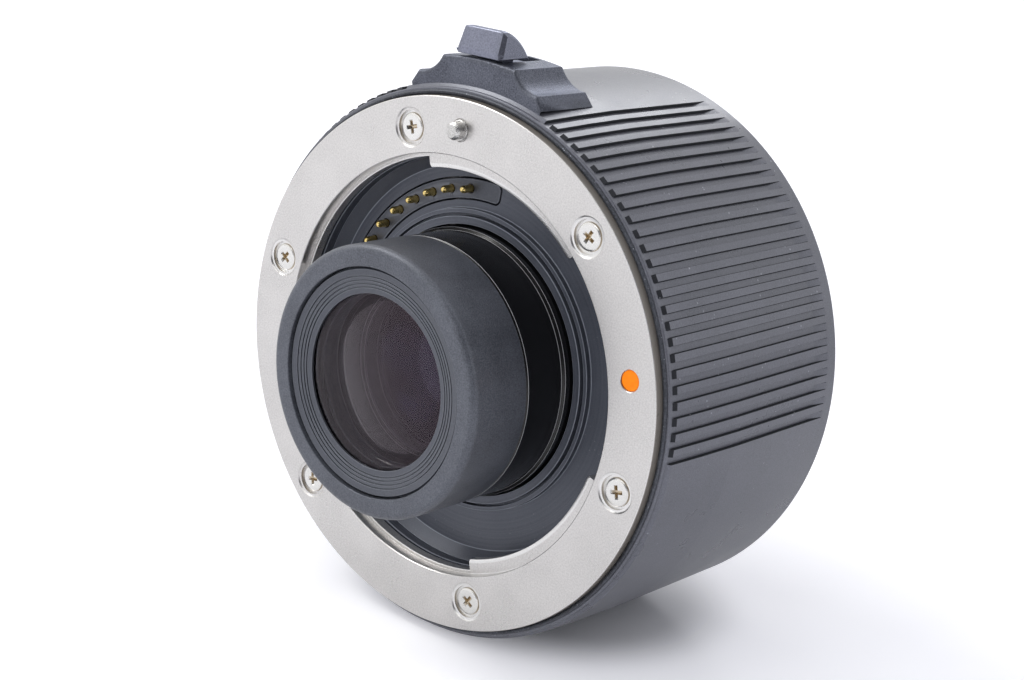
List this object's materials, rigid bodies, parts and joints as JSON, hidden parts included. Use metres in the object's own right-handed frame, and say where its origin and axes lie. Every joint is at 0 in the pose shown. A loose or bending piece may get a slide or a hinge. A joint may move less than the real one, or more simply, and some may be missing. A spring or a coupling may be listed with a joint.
{
  "type": "camera teleconverter",
  "caption": "Camera teleconverter: a ribbed black barrel with a steel female bayonet and thumb lever in front, a projecting lens group, and a male bayonet behind.",
  "frame": {"origin": "centre of the lens seat, the flat front face of the steel bayonet ring, on the optical axis", "axes": "+Y along the optical axis from the lens side to the camera side, +Z towards the release lever, +X to the right as seen from the lens side"},
  "size_m": [0.08, 0.0611, 0.0876],
  "materials": {
    "barrel_black": "satin black anodised",
    "chassis_alloy": "machined",
    "seal_rubber": "matte",
    "mount_steel": "satin",
    "spring_steel": "satin",
    "screw_steel": "satin",
    "pin_steel": "satin",
    "index_enamel": "gloss enamel",
    "baffle_black": "matte",
    "block_black": "satin",
    "contact_gold": "gold plated",
    "flex_amber": "satin",
    "hood_black": "fine matte texture",
    "retainer_black": "matte black",
    "tube_black": "gloss black",
    "coated_glass": "coated",
    "board_green": "satin",
    "chip_black": "matte",
    "housing_black": "fine texture paint",
    "lever_black": "satin"
  },
  "bodies": {
    "converter_body": {"board_chips": "chip_black", "board_screws": "screw_steel", "camera_index_dot": "index_enamel", "camera_mount_ring": "mount_steel", "camera_mount_screws": "screw_steel", "carrier_plate": "chassis_alloy", "carrier_screws": "screw_steel", "chassis_tube": "chassis_alloy", "contact_flex": "flex_amber", "contact_spring_01": "spring_steel", "contact_spring_02": "spring_steel", "contact_spring_03": "spring_steel", "contact_spring_04": "spring_steel", "contact_spring_05": "spring_steel", "contact_spring_06": "spring_steel", "contact_spring_07": "spring_steel", "contact_spring_08": "spring_steel", "contact_spring_09": "spring_steel", "contact_spring_10": "spring_steel", "front_baffle": "baffle_black", "front_contact_block": "block_black", "front_group_tube": "tube_black", "front_hood": "hood_black", "front_retaining_ring": "retainer_black", "front_seal_ring": "seal_rubber", "lens_element_1": "coated_glass", "lens_element_2": "coated_glass", "lens_element_3": "coated_glass", "lens_element_4": "coated_glass", "lens_element_5": "coated_glass", "lens_index_dot": "index_enamel", "lens_mount_ring": "mount_steel", "lens_mount_screws": "screw_steel", "lens_spacer": "retainer_black", "lock_spring": "spring_steel", "main_board": "board_green", "mount_leaf_springs": "spring_steel", "outer_barrel": "barrel_black", "rear_baffle": "baffle_black", "rear_contact_block": "block_black", "rear_contact_pads": "contact_gold", "rear_group_tube": "tube_black", "rear_retaining_ring": "retainer_black", "release_housing": "housing_black", "release_housing_screws": "screw_steel", "tube_clamp_ring": "barrel_black"},
    "release_slide": {"release_lever": "lever_black", "dust_plate": "lever_black", "lever_screw": "screw_steel", "lock_pin": "pin_steel"},
    "contact_pin_01": {"contact_pin_01": "contact_gold"},
    "contact_pin_02": {"contact_pin_02": "contact_gold"},
    "contact_pin_03": {"contact_pin_03": "contact_gold"},
    "contact_pin_04": {"contact_pin_04": "contact_gold"},
    "contact_pin_05": {"contact_pin_05": "contact_gold"},
    "contact_pin_06": {"contact_pin_06": "contact_gold"},
    "contact_pin_07": {"contact_pin_07": "contact_gold"},
    "contact_pin_08": {"contact_pin_08": "contact_gold"},
    "contact_pin_09": {"contact_pin_09": "contact_gold"},
    "contact_pin_10": {"contact_pin_10": "contact_gold"}
  },
  "joints": [
    {"name": "release_slide", "type": "slide", "parent": "converter_body", "child": "release_slide", "axis": [0, 1, 0], "range_m": [0, 0.0021], "stiffness_N_per_m": 300, "springref_m": -0.0015, "deforming": ["lock_spring"]},
    {"name": "contact_press_01", "type": "slide", "parent": "converter_body", "child": "contact_pin_01", "axis": [0, 1, 0], "range_m": [0, 0.0012], "stiffness_N_per_m": 150, "springref_m": -0.002, "deforming": ["contact_spring_01"]},
    {"name": "contact_press_02", "type": "slide", "parent": "converter_body", "child": "contact_pin_02", "axis": [0, 1, 0], "range_m": [0, 0.0012], "stiffness_N_per_m": 150, "springref_m": -0.002, "deforming": ["contact_spring_02"]},
    {"name": "contact_press_03", "type": "slide", "parent": "converter_body", "child": "contact_pin_03", "axis": [0, 1, 0], "range_m": [0, 0.0012], "stiffness_N_per_m": 150, "springref_m": -0.002, "deforming": ["contact_spring_03"]},
    {"name": "contact_press_04", "type": "slide", "parent": "converter_body", "child": "contact_pin_04", "axis": [0, 1, 0], "range_m": [0, 0.0012], "stiffness_N_per_m": 150, "springref_m": -0.002, "deforming": ["contact_spring_04"]},
    {"name": "contact_press_05", "type": "slide", "parent": "converter_body", "child": "contact_pin_05", "axis": [0, 1, 0], "range_m": [0, 0.0012], "stiffness_N_per_m": 150, "springref_m": -0.002, "deforming": ["contact_spring_05"]},
    {"name": "contact_press_06", "type": "slide", "parent": "converter_body", "child": "contact_pin_06", "axis": [0, 1, 0], "range_m": [0, 0.0012], "stiffness_N_per_m": 150, "springref_m": -0.002, "deforming": ["contact_spring_06"]},
    {"name": "contact_press_07", "type": "slide", "parent": "converter_body", "child": "contact_pin_07", "axis": [0, 1, 0], "range_m": [0, 0.0012], "stiffness_N_per_m": 150, "springref_m": -0.002, "deforming": ["contact_spring_07"]},
    {"name": "contact_press_08", "type": "slide", "parent": "converter_body", "child": "contact_pin_08", "axis": [0, 1, 0], "range_m": [0, 0.0012], "stiffness_N_per_m": 150, "springref_m": -0.002, "deforming": ["contact_spring_08"]},
    {"name": "contact_press_09", "type": "slide", "parent": "converter_body", "child": "contact_pin_09", "axis": [0, 1, 0], "range_m": [0, 0.0012], "stiffness_N_per_m": 150, "springref_m": -0.002, "deforming": ["contact_spring_09"]},
    {"name": "contact_press_10", "type": "slide", "parent": "converter_body", "child": "contact_pin_10", "axis": [0, 1, 0], "range_m": [0, 0.0012], "stiffness_N_per_m": 150, "springref_m": -0.002, "deforming": ["contact_spring_10"]}
  ]
}
